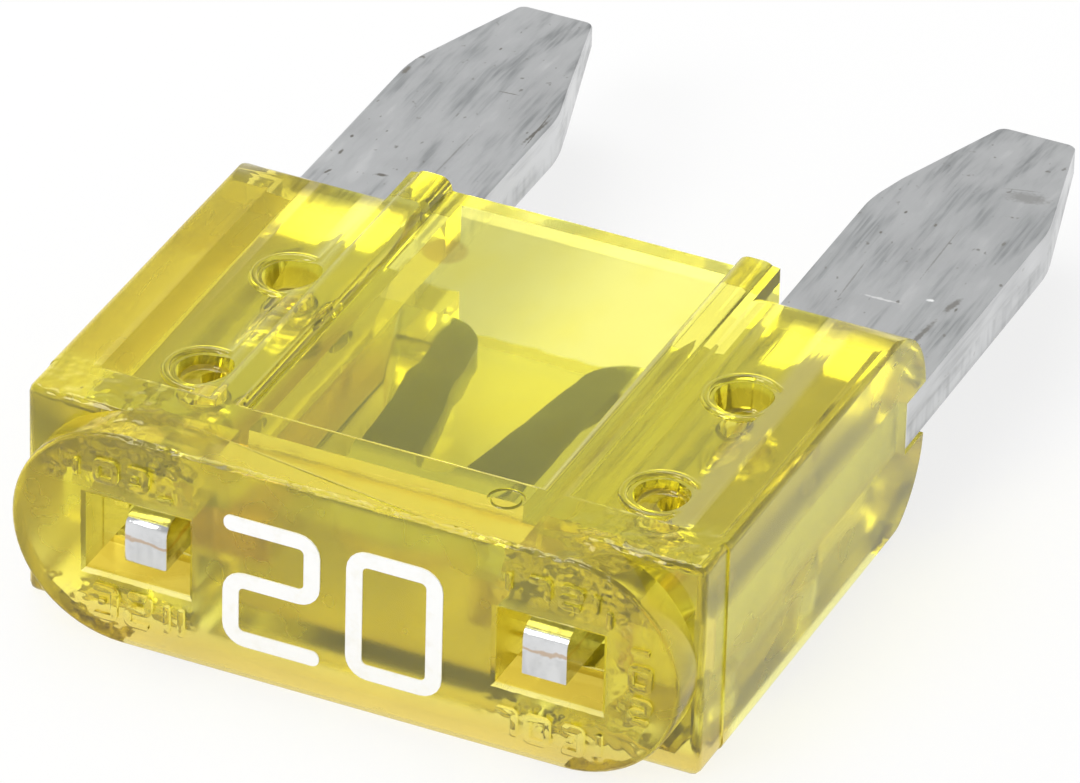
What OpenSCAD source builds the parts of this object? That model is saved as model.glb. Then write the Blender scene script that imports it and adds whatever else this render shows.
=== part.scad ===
// Mini blade fuse: a clear moulded housing staked onto a stamped zinc element.
// It lies on its broad face. +Y runs from the label face to the blade tips, +Z is
// the thickness, and the origin is the centre of the footprint on the surface.

/* [Overall] */
// Length from the label face to the blade tips
overall_l = 16.3; // [15:0.1:22]
// Width of the body, side to side
body_w = 10.9; // [10:0.1:14]
// Thickness of the housing, face to face
housing_t = 3.6; // [3.4:0.1:5]

/* [Housing outside] */
// Length of the housing, label face to its blade end
housing_l = 8.7; // [8:0.1:11]
// How far the head block's sides lie inside the body's
head_inset = 0.03; // [0:0.01:0.5]
// Depth of the head block
head_depth = 1; // [0.8:0.05:1.6]
// How far the round-ended label pad stands in front of the head
pad_depth = 0.7; // [0.4:0.05:1]
// How far the label pad's ends lie inside the body's sides
pad_inset = 0.1; // [0:0.05:0.6]
// Rounding of the head block's edges
head_edge_r = 0.15; // [0.1:0.05:0.4]
// Rounding of the body's long edges
body_edge_r = 0.12; // [0.06:0.02:0.4]
// Rounding of the body's blade end, beside the two bars
nose_r = 1.45; // [0.6:0.05:1.6]

/* [Faces] */
// Distance between the two raised bars on a broad face
bar_gap = 4.7; // [4.2:0.1:5.2]
// Width of a bar across its top
bar_w = 0.69; // [0.4:0.01:0.8]
// Sideways run of a bar's outer slope
bar_slope = 0.34; // [0.1:0.02:0.4]
// Depth of the window panel below the bars
panel_recess = 0.22; // [0.1:0.02:0.4]
// Depth of the staking areas below the bars and rails
side_recess = 0.17; // [0.05:0.01:0.3]
// Width of the rail along each side of a broad face
rail_w = 0.7; // [0.5:0.05:0.9]
// Sideways run of a rail's inner slope
rail_slope = 0.5; // [0.1:0.05:0.6]

/* [Hollow] */
// Thickness of the window panel
panel_t = 0.48; // [0.3:0.02:0.6]
// Width of the hollow under the window panel
hollow_w = 4.4; // [4:0.1:4.6]
// Thickness of the wall behind the label
front_wall = 1.5; // [1.2:0.05:1.8]
// Thickness of the side wall beside the element
side_wall = 0.55; // [0.4:0.05:0.7]
// Length of the side notch where each blade leaves the housing
notch_l = 0.7; // [0.4:0.05:1]
// Gap between the housing and the element, all round
fit_gap = 0.05; // [0.02:0.01:0.08]

/* [Test windows] */
// Width of a test window
window_w = 1.7; // [1.2:0.05:2]
// Height of a test window
window_h = 1.3; // [1.1:0.05:1.6]
// Distance of a test window's middle from the centre line
window_x = 3.3; // [3.2:0.05:3.4]

/* [Stakes] */
// Place of the left stakes, left of the centre line
stake_left_x = 3.4; // [3:0.05:4]
// Place of the right stakes, right of the centre line
stake_right_x = 3.95; // [3.3:0.05:4.1]
// First stake, behind the head block
stake_near_gap = 0.75; // [0.65:0.05:1.2]
// Distance between the two stakes of one side
stake_pitch = 2.9; // [2:0.1:3.4]
// Diameter of the plastic stake that passes through the element
stake_d = 0.7; // [0.4:0.05:0.8]
// Diameter of the dimple over a stake
dimple_d = 1; // [0.8:0.05:1.2]
// Depth of the dimple
dimple_depth = 0.45; // [0.2:0.05:0.6]
// Diameter of the pin mark in the bottom of the dimple
pin_mark_d = 0.44; // [0.2:0.02:0.6]
// Depth of the pin mark below the dimple
pin_mark_depth = 0.35; // [0.1:0.05:0.4]

/* [Element] */
// Thickness of the blades
blade_t = 0.8; // [0.6:0.05:1]
// Width of a blade
blade_w = 2.8; // [2.4:0.05:3]
// How far a blade's outer edge lies inside the housing's side
blade_inset = 0.03; // [0:0.01:0.2]
// Length of the taper on a blade's inner edge
taper_in_l = 3.13; // [2:0.01:4]
// Length of the taper on a blade's outer edge
taper_out_l = 2.75; // [2:0.01:4]
// Sideways run of the taper on the inner edge
taper_in_w = 0.86; // [0.4:0.02:1]
// Sideways run of the taper on the outer edge
taper_out_w = 0.7; // [0.4:0.02:1]
// Length over which a blade is pressed thinner toward its tip
coin_l = 2.4; // [0.6:0.1:2.8]
// Thickness of a blade at its tip
tip_t = 0.4; // [0.2:0.05:0.6]
// Width of a test tab
tab_w = 0.7; // [0.5:0.05:0.9]
// How far a test tab's middle lies inside its window's middle
tab_offset = 0.1; // [0:0.02:0.2]
// How far a test tab ends behind the label face
tab_recess = 0.15; // [0:0.05:0.5]

/* [Link] */
// Thickness of the thinned link
link_t = 0.4; // [0.3:0.05:0.5]
// Outer radius of the arch that joins the legs
arch_r = 1.3; // [1.1:0.05:1.35]
// Inner radius of the arch
arch_bore_r = 0.35; // [0.25:0.05:0.6]
// Distance of the arch's centre from the label face
arch_y = 3.3; // [3:0.05:3.6]
// Distance of the legs' ends from the label face
leg_end_y = 6.3; // [5.8:0.05:6.6]
// Inner edge of a leg's end, from the centre line
leg_in_x = 0.85; // [0.7:0.05:0.95]
// Width of a leg at its end
leg_end_w = 0.65; // [0.4:0.05:0.7]
// Radius where a leg turns out into its foot
foot_r = 0.8; // [0.6:0.05:0.8]
// Width of the slot between a leg and its shoulder, at the arch
slot_w = 0.3; // [0.2:0.05:0.35]
// How far a shoulder's slanted edge leans out
shoulder_lean = 0.76; // [0.4:0.02:0.8]
// Length of a shoulder's slanted edge
shoulder_slant_l = 2.3; // [1.6:0.1:2.4]

/* [Hidden] */

eps = 0.01;
round_fn = 64;

// Heights
mid_z = housing_t / 2;
slot_h = blade_t + 2 * fit_gap;
hollow_h = housing_t - 2 * (panel_recess + panel_t);
floor_z = housing_t - side_recess;

// Places along the length, from the label face
head_back_y = pad_depth + head_depth;
strip_start_y = front_wall + 2 * fit_gap;
notch_y = housing_l - notch_l;
stake_ys = [head_back_y + stake_near_gap, head_back_y + stake_near_gap + stake_pitch];
shoulder_top_y = leg_end_y + foot_r;

// Widths and places across, from the centre line
head_w = body_w - 2 * head_inset;
pad_w = body_w - 2 * pad_inset;
bar_in_x = bar_gap / 2;
bar_out_x = bar_in_x + bar_w;
rail_in_x = body_w / 2 - rail_w;
slot_half_w = body_w / 2 - side_wall;
strip_half_w = slot_half_w - fit_gap;
tab_x = window_x - tab_offset;
blade_out_x = body_w / 2 - blade_inset;
blade_in_x = blade_out_x - blade_w;
shoulder_x = arch_r + slot_w;
shoulder_top_x = shoulder_x + shoulder_lean;

// Places the parts, drawn from the label face, about the middle of the length
module placed() {
    translate([0, -overall_l / 2, 0]) children();
}

// Draws its children on both broad faces
module both_faces() {
    children();
    translate([0, 0, housing_t]) mirror([0, 0, 1]) children();
}

// Draws its children on both sides of the centre line
module both_sides() {
    children();
    mirror([1, 0, 0]) children();
}

// Extrudes an outline in X and Z along Y, from y0 to y1
module along_y(y0, y1) {
    translate([0, y1, 0]) rotate([90, 0, 0]) linear_extrude(height = y1 - y0) children();
}

// Rectangle centred on x = 0, standing on y = 0, with true round corners
module round_rect(w, h, r) {
    union() {
        translate([-w / 2 + r, 0]) square([w - 2 * r, h]);
        translate([-w / 2, r]) square([w, h - 2 * r]);
        for (x = [-w / 2 + r, w / 2 - r], y = [r, h - r]) {
            translate([x, y]) circle(r = r, $fn = round_fn);
        }
    }
}

// Block of the head, rounded along its edges
module head_block() {
    intersection() {
        along_y(pad_depth, head_back_y) round_rect(head_w, housing_t, head_edge_r);
        translate([0, pad_depth, 0])
            linear_extrude(height = housing_t) round_rect(head_w, head_depth + head_edge_r, head_edge_r);
    }
}

// Round-ended pad that carries the label
module label_pad() {
    along_y(0, pad_depth + head_edge_r) {
        translate([mid_z - pad_w / 2, 0]) square([pad_w - housing_t, housing_t]);
        both_sides() translate([pad_w / 2 - mid_z, mid_z]) circle(r = mid_z, $fn = round_fn);
    }
}

// Side view of the body beside the bars, with its rounded blade end, drawn in Y and Z
module nose_outline() {
    union() {
        translate([head_back_y - eps, 0]) square([housing_l - nose_r - head_back_y + eps, housing_t]);
        translate([head_back_y, nose_r]) square([housing_l - head_back_y, housing_t - 2 * nose_r]);
        for (z = [nose_r, housing_t - nose_r]) {
            translate([housing_l - nose_r, z]) circle(r = nose_r, $fn = round_fn);
        }
    }
}

// Body as wide as the housing, with the round nose
module nosed_body() {
    intersection() {
        along_y(head_back_y - eps, housing_l) round_rect(body_w, housing_t, body_edge_r);
        rotate([90, 0, 90]) translate([0, 0, -body_w / 2]) linear_extrude(height = body_w) nose_outline();
    }
}

// Square-ended middle of the body, between and under the bars
module middle_block() {
    translate([-bar_out_x, head_back_y - eps, 0]) cube([2 * bar_out_x, housing_l - head_back_y + eps, housing_t]);
}

// Staking area cut into a broad face, between a bar and a rail, in X and Z
module side_recess_cut() {
    along_y(head_back_y, housing_l + eps)
        polygon([
            [bar_out_x, housing_t],
            [bar_out_x + bar_slope, floor_z],
            [rail_in_x - rail_slope, floor_z],
            [rail_in_x, housing_t],
            [rail_in_x, housing_t + eps],
            [bar_out_x, housing_t + eps]
        ]);
}

// Window panel area cut into a broad face, between the bars
module panel_cut() {
    translate([-bar_in_x, head_back_y, housing_t - panel_recess])
        cube([bar_gap, housing_l - head_back_y + eps, panel_recess + eps]);
}

// Dimple and pin mark over one stake
module stake_dimple(x, y) {
    translate([x, y, floor_z - dimple_depth]) {
        cylinder(d = dimple_d, h = dimple_depth + side_recess + eps, $fn = round_fn);
        translate([0, 0, -pin_mark_depth]) cylinder(d = pin_mark_d, h = pin_mark_depth + eps, $fn = round_fn);
    }
}

// Everything cut from one broad face
module face_cuts() {
    both_sides() side_recess_cut();
    panel_cut();
    for (y = stake_ys, x = [-stake_left_x, stake_right_x]) stake_dimple(x, y);
}

// Thin slot that takes the element, and the notches where the blades leave
module element_slot() {
    translate([-slot_half_w, front_wall, mid_z - slot_h / 2])
        cube([2 * slot_half_w, housing_l - front_wall + eps, slot_h]);
    translate([-body_w / 2 - eps, notch_y, mid_z - slot_h / 2])
        cube([body_w + 2 * eps, notch_l + eps, slot_h]);
}

// Hollow around the link, open at the blade end
module link_hollow() {
    translate([-hollow_w / 2, front_wall, mid_z - hollow_h / 2])
        cube([hollow_w, housing_l - front_wall + eps, hollow_h]);
}

// Test windows through the label pad into the slot
module test_windows() {
    both_sides()
        translate([window_x - window_w / 2, -eps, mid_z - window_h / 2])
            cube([window_w, front_wall + 2 * eps, window_h]);
}

// Stakes that cross the slot and hold the element
module stakes() {
    for (y = stake_ys, x = [-stake_left_x, stake_right_x]) {
        translate([x, y, mid_z - slot_h / 2 - fit_gap])
            cylinder(d = stake_d, h = slot_h + 2 * fit_gap, $fn = round_fn);
    }
}

module housing() {
    color("#d8c81e")
    placed() {
        difference() {
            union() {
                head_block();
                label_pad();
                nosed_body();
                middle_block();
            }
            both_faces() face_cuts();
            element_slot();
            link_hollow();
            test_windows();
        }
        stakes();
    }
}

// Outline of the right blade with its test tab and its shoulder
module blade_outline() {
    polygon([
        [tab_x - tab_w / 2, tab_recess],
        [tab_x + tab_w / 2, tab_recess],
        [tab_x + tab_w / 2, strip_start_y],
        [strip_half_w, strip_start_y],
        [strip_half_w, notch_y + fit_gap],
        [blade_out_x, notch_y + fit_gap],
        [blade_out_x, overall_l - taper_out_l],
        [blade_out_x - taper_out_w, overall_l],
        [blade_in_x + taper_in_w, overall_l],
        [blade_in_x, overall_l - taper_in_l],
        [blade_in_x, shoulder_top_y],
        [shoulder_top_x, shoulder_top_y],
        [shoulder_x, shoulder_top_y - shoulder_slant_l],
        [shoulder_x, strip_start_y],
        [tab_x - tab_w / 2, strip_start_y]
    ]);
}

// Arch at the label end of the link
module arch_outline() {
    intersection() {
        difference() {
            circle(r = arch_r, $fn = round_fn);
            circle(r = arch_bore_r, $fn = round_fn);
        }
        translate([-arch_r, -arch_r]) square([2 * arch_r, arch_r]);
    }
}

// Right leg of the link and the foot that joins it to the shoulder
module leg_outline() {
    polygon([
        [arch_bore_r, arch_y - eps],
        [arch_r, arch_y - eps],
        [leg_in_x + leg_end_w, leg_end_y],
        [leg_in_x, leg_end_y]
    ]);
    intersection() {
        translate([leg_in_x + foot_r, leg_end_y]) circle(r = foot_r, $fn = round_fn);
        translate([leg_in_x, leg_end_y - eps]) square([foot_r, foot_r + eps]);
    }
    translate([leg_in_x + foot_r - eps, leg_end_y])
        square([shoulder_top_x - leg_in_x - foot_r - eps, foot_r]);
}

// Side view of the blades, thinned toward their tips, drawn in Y and Z
module blade_side_outline() {
    polygon([
        [0, mid_z - blade_t / 2],
        [overall_l - coin_l, mid_z - blade_t / 2],
        [overall_l, mid_z - tip_t / 2],
        [overall_l, mid_z + tip_t / 2],
        [overall_l - coin_l, mid_z + blade_t / 2],
        [0, mid_z + blade_t / 2]
    ]);
}

// Blades, test tabs and shoulders
module blades() {
    intersection() {
        linear_extrude(height = housing_t) both_sides() blade_outline();
        rotate([90, 0, 90]) translate([0, 0, -body_w / 2]) linear_extrude(height = body_w) blade_side_outline();
    }
}

// Thinned link in the middle of the strip
module link() {
    translate([0, 0, mid_z - link_t / 2])
        linear_extrude(height = link_t) {
            translate([0, arch_y]) arch_outline();
            both_sides() leg_outline();
        }
}

// Holes that the stakes pass through
module stake_holes() {
    for (y = stake_ys, x = [-stake_left_x, stake_right_x]) {
        translate([x, y, mid_z - blade_t]) cylinder(d = stake_d + 2 * fit_gap, h = 2 * blade_t, $fn = round_fn);
    }
}

module fuse_element() {
    color("#a9adb0")
    placed() {
        difference() {
            union() {
                blades();
                link();
            }
            stake_holes();
        }
    }
}

housing();
fuse_element();
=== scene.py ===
"""Looks of a small plug-in blade fuse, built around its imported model.

A clear yellow moulding is staked onto a stamped zinc strip. Sizes are in millimetres, measured
from the label face (y), the centre line (x) and the surface that the fuse lies on (z), and each
finished mesh is turned into metres once, in Workshop.place.
"""
import logging
import math
import random
from dataclasses import dataclass
from enum import Enum
from functools import reduce
from typing import Callable, Iterable, Sequence

import bmesh
import bpy
from mathutils import Matrix, Vector


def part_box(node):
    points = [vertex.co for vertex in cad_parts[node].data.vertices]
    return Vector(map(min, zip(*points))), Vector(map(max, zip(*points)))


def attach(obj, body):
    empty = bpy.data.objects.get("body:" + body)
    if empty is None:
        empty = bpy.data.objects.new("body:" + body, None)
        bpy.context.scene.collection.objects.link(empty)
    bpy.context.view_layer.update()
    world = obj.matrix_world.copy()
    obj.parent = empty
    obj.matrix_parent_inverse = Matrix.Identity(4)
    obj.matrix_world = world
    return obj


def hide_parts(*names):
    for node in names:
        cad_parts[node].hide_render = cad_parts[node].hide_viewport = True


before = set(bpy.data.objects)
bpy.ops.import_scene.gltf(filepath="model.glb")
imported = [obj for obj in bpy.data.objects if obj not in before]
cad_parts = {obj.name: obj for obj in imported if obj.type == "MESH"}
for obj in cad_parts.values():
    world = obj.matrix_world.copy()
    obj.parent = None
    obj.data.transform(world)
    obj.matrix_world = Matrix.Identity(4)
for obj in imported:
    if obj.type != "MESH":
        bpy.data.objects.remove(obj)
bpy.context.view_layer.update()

MM = 0.001
BODY = "root"
MID_HEIGHT = 1.8
EVEN = (1.0, 1.0, 1.0)
TINY = 1e-4
ALMOST = 0.999
STAKE_XS = (-3.4, 3.95)
STAKE_YS = (2.45, 5.35)
STAKES = [(x, y) for x in STAKE_XS for y in STAKE_YS]

log = logging.getLogger("fuse")

Point = tuple[float, float]
Triple = tuple[float, float, float]
Ramp = tuple[float, ...]
Grain = tuple[float, float, Triple]
Socket = bpy.types.NodeSocket
Mesh = bmesh.types.BMesh
Solid = bpy.types.Object


# ---- Mesh tools ----


class Axis(Enum):
    """Direction in which an outline is extruded, with the matrix that stands the outline across it."""

    X = Matrix(((0, 0, 1, 0), (1, 0, 0, 0), (0, 1, 0, 0), (0, 0, 0, 1)))
    Y = Matrix(((1, 0, 0, 0), (0, 0, 1, 0), (0, 1, 0, 0), (0, 0, 0, 1)))
    Z = Matrix.Identity(4)


class Join(Enum):
    """How one solid is combined with another."""

    ADD = "UNION"
    CUT = "DIFFERENCE"
    KEEP = "INTERSECT"


@dataclass(frozen=True)
class Corner:
    """One corner of an outline, with the radius that rounds it."""

    u: float
    v: float
    radius: float = 0.0

    @classmethod
    def box(cls, low: Point, high: Point, radius: float = 0.0) -> list["Corner"]:
        """Gives the four corners of a rectangle, from its lowest one."""
        return [cls(u, v, radius) for u, v in (low, (high[0], low[1]), high, (low[0], high[1]))]

    @classmethod
    def mirrored(cls, corners: Sequence["Corner"]) -> list["Corner"]:
        """Gives half an outline and its mirror image across the middle line."""
        return [*corners, *(cls(-c.u, c.v, c.radius) for c in reversed(corners))]


class Workshop:
    """Makes closed solids with bmesh operators and combines them."""

    LARGE_RADIUS = 0.5
    LARGE_SEGMENTS = 16
    SMALL_SEGMENTS = 5
    ROUND_SEGMENTS = 48
    RING_SEGMENTS = 10

    @staticmethod
    def to_object(bm: Mesh, name: str) -> Solid:
        """Turns a bmesh into an object of the scene.

        Args:
            bm: The mesh, which is freed.
            name: Name of the new object.

        Returns:
            The new object, at the origin.
        """
        bmesh.ops.recalc_face_normals(bm, faces=bm.faces)
        mesh = bpy.data.meshes.new(name)
        bm.to_mesh(mesh)
        bm.free()
        made = bpy.data.objects.new(name, mesh)
        bpy.context.scene.collection.objects.link(made)
        return made

    @classmethod
    def block(cls, low: Triple, high: Triple, rounding: float = 0.0) -> Solid:
        """Makes a box between two corners.

        Args:
            low: Lowest corner.
            high: Highest corner.
            rounding: Radius of all its edges.

        Returns:
            The box.
        """
        bm = bmesh.new()
        bmesh.ops.create_cube(bm, size=1.0)
        size = Vector(high) - Vector(low)
        bmesh.ops.scale(bm, vec=size, verts=bm.verts)
        bmesh.ops.translate(bm, vec=(Vector(low) + Vector(high)) / 2, verts=bm.verts)
        if rounding:
            cls.bevel(bm, bm.edges, rounding, 3)
        return cls.to_object(bm, "block")

    @classmethod
    def prism(cls, corners: Sequence[Corner], axis: Axis, start: float, end: float) -> Solid:
        """Extrudes a closed outline with rounded corners.

        Args:
            corners: Corners of the outline in order.
            axis: Direction of the extrusion. The outline's u and v are (y, z), (x, z) or (x, y).
            start: Where the prism starts along the axis.
            end: Where it ends.

        Returns:
            The prism.
        """
        bm = bmesh.new()
        verts = [bm.verts.new((c.u, c.v, 0.0)) for c in corners]
        bm.faces.new(verts)
        for corner, vert in zip(corners, verts):
            if corner.radius:
                large = corner.radius > cls.LARGE_RADIUS
                bmesh.ops.bevel(
                    bm, geom=[vert], affect="VERTICES", offset=corner.radius, offset_type="OFFSET",
                    segments=cls.LARGE_SEGMENTS if large else cls.SMALL_SEGMENTS, profile=0.5, material=-1,
                )
        made = bmesh.ops.extrude_face_region(bm, geom=list(bm.faces))
        top = [g for g in made["geom"] if isinstance(g, bmesh.types.BMVert)]
        bmesh.ops.translate(bm, vec=(0.0, 0.0, end - start), verts=top)
        bmesh.ops.translate(bm, vec=(0.0, 0.0, start), verts=bm.verts)
        bmesh.ops.transform(bm, matrix=axis.value, verts=bm.verts)
        return cls.to_object(bm, "prism")

    @classmethod
    def rod(cls, place: Triple, diameter: float, height: float, taper: float = 0.0) -> Solid:
        """Makes an upright cylinder that stands on a point.

        Args:
            place: Middle of its lower end.
            diameter: Diameter of its upper end.
            height: Height.
            taper: How much narrower its lower end is.

        Returns:
            The cylinder.
        """
        bm = bmesh.new()
        bmesh.ops.create_cone(
            bm, cap_ends=True, cap_tris=False, segments=cls.ROUND_SEGMENTS,
            radius1=(diameter - taper) / 2, radius2=diameter / 2, depth=height,
        )
        bmesh.ops.translate(bm, vec=Vector(place) + Vector((0.0, 0.0, height / 2)), verts=bm.verts)
        return cls.to_object(bm, "rod")

    @classmethod
    def ring(cls, place: Triple, diameter: float, thickness: float) -> Solid:
        """Makes a flat-lying ring.

        Args:
            place: Its centre.
            diameter: Diameter of its middle line.
            thickness: Thickness of its round section.

        Returns:
            The ring.
        """
        bm = bmesh.new()
        made = bmesh.ops.create_circle(bm, segments=cls.RING_SEGMENTS, radius=thickness / 2)
        bmesh.ops.rotate(bm, verts=made["verts"], matrix=Matrix.Rotation(math.pi / 2, 3, "X"))
        bmesh.ops.translate(bm, verts=made["verts"], vec=(diameter / 2, 0.0, 0.0))
        bmesh.ops.spin(
            bm, geom=list(bm.edges), cent=(0.0, 0.0, 0.0), axis=(0.0, 0.0, 1.0), angle=math.tau,
            steps=cls.ROUND_SEGMENTS, use_merge=True,
        )
        bmesh.ops.remove_doubles(bm, verts=bm.verts, dist=1e-5)
        bmesh.ops.translate(bm, vec=place, verts=bm.verts)
        return cls.to_object(bm, "ring")

    @staticmethod
    def bevel(bm: Mesh, edges: Iterable[bmesh.types.BMEdge], offset: float, segments: int) -> None:
        """Rounds edges.

        Args:
            bm: The mesh.
            edges: Edges to round.
            offset: Width of the rounding on each side.
            segments: Faces across the rounding.
        """
        bmesh.ops.bevel(
            bm, geom=list(edges), affect="EDGES", offset=offset, offset_type="OFFSET", segments=segments,
            profile=0.5, material=-1, clamp_overlap=True,
        )

    @staticmethod
    def cut_across(bm: Mesh, y: float) -> None:
        """Adds edges where a plane across the length meets the mesh.

        Args:
            bm: The mesh.
            y: Where the plane lies.
        """
        geom = [*bm.verts, *bm.edges, *bm.faces]
        bmesh.ops.bisect_plane(bm, geom=geom, plane_co=(0.0, y, 0.0), plane_no=(0.0, 1.0, 0.0))

    @staticmethod
    def combine(target: Solid, how: Join, *tools: Solid) -> Solid:
        """Combines a solid with others, which are used up.

        Args:
            target: The solid that is changed.
            how: Whether the tools are added, cut away or kept.
            tools: The other solids.

        Returns:
            The changed target.
        """
        for tool in tools:
            step = target.modifiers.new("combine", "BOOLEAN")
            step.solver = "EXACT"
            step.operation = how.value
            step.object = tool
            depsgraph = bpy.context.evaluated_depsgraph_get()
            mesh = bpy.data.meshes.new_from_object(target.evaluated_get(depsgraph))
            target.modifiers.clear()
            target.data = mesh
            bpy.data.objects.remove(tool)
        return target

    @staticmethod
    def reshape(target: Solid, change: Callable[[Mesh], None]) -> Solid:
        """Edits a solid's mesh with a function.

        Args:
            target: The solid.
            change: What is done to its bmesh.

        Returns:
            The same solid.
        """
        bm = bmesh.new()
        bm.from_mesh(target.data)
        change(bm)
        bm.to_mesh(target.data)
        bm.free()
        return target

    @classmethod
    def soften(cls, target: Solid, radius: float, least_angle: float, segments: int = 2,
               where: Callable[[Vector], bool] = lambda middle: True) -> Solid:
        """Rounds a solid's sharp edges.

        Args:
            target: The solid.
            radius: Width of the rounding.
            least_angle: Edges bent less than this many degrees stay.
            segments: Faces across the rounding.
            where: Picks edges by their middle.

        Returns:
            The same solid.
        """

        def change(bm: Mesh) -> None:
            sharp = [
                e for e in bm.edges
                if len(e.link_faces) == 2 and e.calc_face_angle() > math.radians(least_angle)
                and where((e.verts[0].co + e.verts[1].co) / 2)
            ]
            cls.bevel(bm, sharp, radius, segments)

        return cls.reshape(target, change)

    @staticmethod
    def place(target: Solid, name: str, front_y: float, smooth_angle: float = 38.0) -> Solid:
        """Names a finished solid, shades it and sets it into the frame, in metres.

        Args:
            target: The solid, in millimetres from the label face.
            name: Its name.
            front_y: Where the label face lies in the frame, in metres.
            smooth_angle: Edges bent more than this stay crisp.

        Returns:
            The same object.
        """
        bm = bmesh.new()
        bm.from_mesh(target.data)
        bmesh.ops.scale(bm, vec=(MM, MM, MM), verts=bm.verts)
        bmesh.ops.translate(bm, vec=(0.0, front_y, 0.0), verts=bm.verts)
        for face in bm.faces:
            face.smooth = True
        for edge in bm.edges:
            edge.smooth = edge.calc_face_angle(0.0) < math.radians(smooth_angle)
        bm.to_mesh(target.data)
        bm.free()
        target.name = target.data.name = name
        even = target.modifiers.new("even_normals", "WEIGHTED_NORMAL")
        even.keep_sharp = True
        return target


@dataclass(frozen=True)
class Pen:
    """Draws strokes on the label face, as flat solids with rounded turns."""

    width: float
    turn: float
    cap: float
    start_y: float
    end_y: float
    least_turn: float = 0.02

    def outline(self, path: Sequence[Point]) -> list[Corner]:
        """Gives the outline of a stroke along a path.

        Args:
            path: Points of its middle line, in x and z.

        Returns:
            Corners of the outline, the turns rounded about one centre.
        """
        half = self.width / 2
        points = [Vector(p) for p in path]
        steps = [(b - a).normalized() for a, b in zip(points, points[1:])]
        left, right = [], []
        for index, point in enumerate(points):
            before = steps[max(index - 1, 0)]
            after = steps[min(index, len(steps) - 1)]
            ahead = (before + after).normalized()
            side = Vector((-ahead.y, ahead.x)) * half / max(ahead.dot(after), 0.3)
            turning = before.x * after.y - before.y * after.x
            tight, wide = max(self.turn - half, 0.0), self.turn + half
            if abs(turning) < 1e-6:
                tight = wide = self.cap
            left.append(Corner(*(point + side), tight if turning > 0 else wide))
            right.append(Corner(*(point - side), wide if turning > 0 else tight))
        return left + right[::-1]

    def stroke(self, path: Sequence[Point]) -> Solid:
        """Makes one open stroke along a path."""
        return Workshop.prism(self.outline(path), Axis.Y, self.start_y, self.end_y)

    def loop(self, low: Point, high: Point) -> Solid:
        """Makes a closed stroke around a box.

        Args:
            low: Lower left corner of the middle line.
            high: Upper right corner of it.

        Returns:
            The stroke.
        """

        def block(grow: float, over: float) -> Solid:
            first, last = (low[0] - grow, low[1] - grow), (high[0] + grow, high[1] + grow)
            outline = Corner.box(first, last, max(self.turn + grow, self.least_turn))
            return Workshop.prism(outline, Axis.Y, self.start_y - over, self.end_y + over)

        return Workshop.combine(block(self.width / 2, 0.0), Join.CUT, block(-self.width / 2, 1.0))

    def digit(self, digit: str, place: Point, size: Point) -> list[Solid]:
        """Makes one plain digit.

        Args:
            digit: Which digit.
            place: Lower left corner of its middle line.
            size: Width and height of its middle line.

        Returns:
            Its strokes.
        """
        (x, z), (w, h) = place, size
        if digit == "0":
            return [self.loop((x, z), (x + w, z + h))]
        paths = {
            "1": [[(0.5, 0.0), (0.5, 1.0)]],
            "2": [[(0.0, 1.0), (1.0, 1.0), (1.0, 0.5), (0.0, 0.5), (0.0, 0.0), (1.0, 0.0)]],
            "3": [[(0.0, 1.0), (1.0, 1.0), (1.0, 0.0), (0.0, 0.0)], [(0.2, 0.5), (0.6, 0.5)]],
            "7": [[(0.0, 1.0), (1.0, 1.0), (1.0, 0.0)]],
        }
        return [self.stroke([(x + u * w, z + v * h) for u, v in path]) for path in paths[digit]]


# ---- Finishes ----


class Measure(Enum):
    """What a finish measures at a place."""

    X = "across, right of the centre line"
    OUT = "across, from the centre line"
    Y = "along, from the label face"
    Z = "height"
    OFF_MID = "height above or below the middle plane"
    UP = "how far the surface faces up"
    FLAT = "how level the surface is"


Zone = tuple[tuple[Measure, Ramp], ...]


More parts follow.
